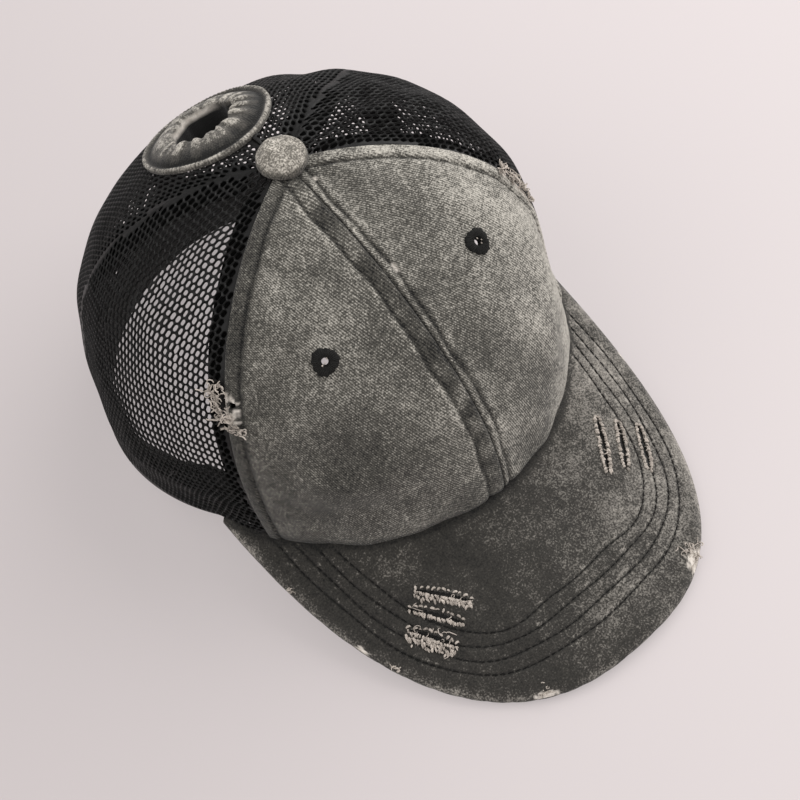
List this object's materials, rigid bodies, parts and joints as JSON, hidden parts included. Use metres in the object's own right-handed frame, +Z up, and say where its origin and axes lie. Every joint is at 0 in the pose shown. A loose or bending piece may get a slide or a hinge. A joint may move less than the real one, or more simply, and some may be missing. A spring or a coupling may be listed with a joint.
{
  "type": "ponytail baseball cap",
  "caption": "Washed cotton and net baseball cap with a curved visor and a gathered ponytail hole in the upper back.",
  "frame": {"origin": "middle of the underside of the cap's bounding box, on the table it rests on", "axes": "-Y is the way the wearer faces, +X is the wearer's left, +Z is up"},
  "size_m": [0.1722, 0.2558, 0.1295],
  "materials": {
    "washed_cotton": "matt washed charcoal twill, lighter on worn edges",
    "visor_cotton": "matt washed charcoal twill, mottled",
    "net": "soft gloss black net",
    "tape": "matt black tape",
    "sweatband": "matt black cotton",
    "board": "dark visor board",
    "thread": "dark sewing thread"
  },
  "bodies": {
    "root": {"front_panel_left": "washed_cotton", "front_panel_right": "washed_cotton", "net_side_left": "net", "net_side_right": "net", "net_back_left": "net", "net_back_right": "net", "seam_tape_side_left": "tape", "seam_tape_side_right": "tape", "seam_tape_back_left": "tape", "seam_tape_back_right": "tape", "seam_tape_centre": "tape", "eyelet_left": "thread", "eyelet_right": "thread", "sweatband": "sweatband", "visor_top_cloth": "visor_cotton", "visor_board": "board", "visor_under_cloth": "visor_cotton", "top_button": "washed_cotton", "ponytail_ring": "washed_cotton"}
  },
  "joints": []
}
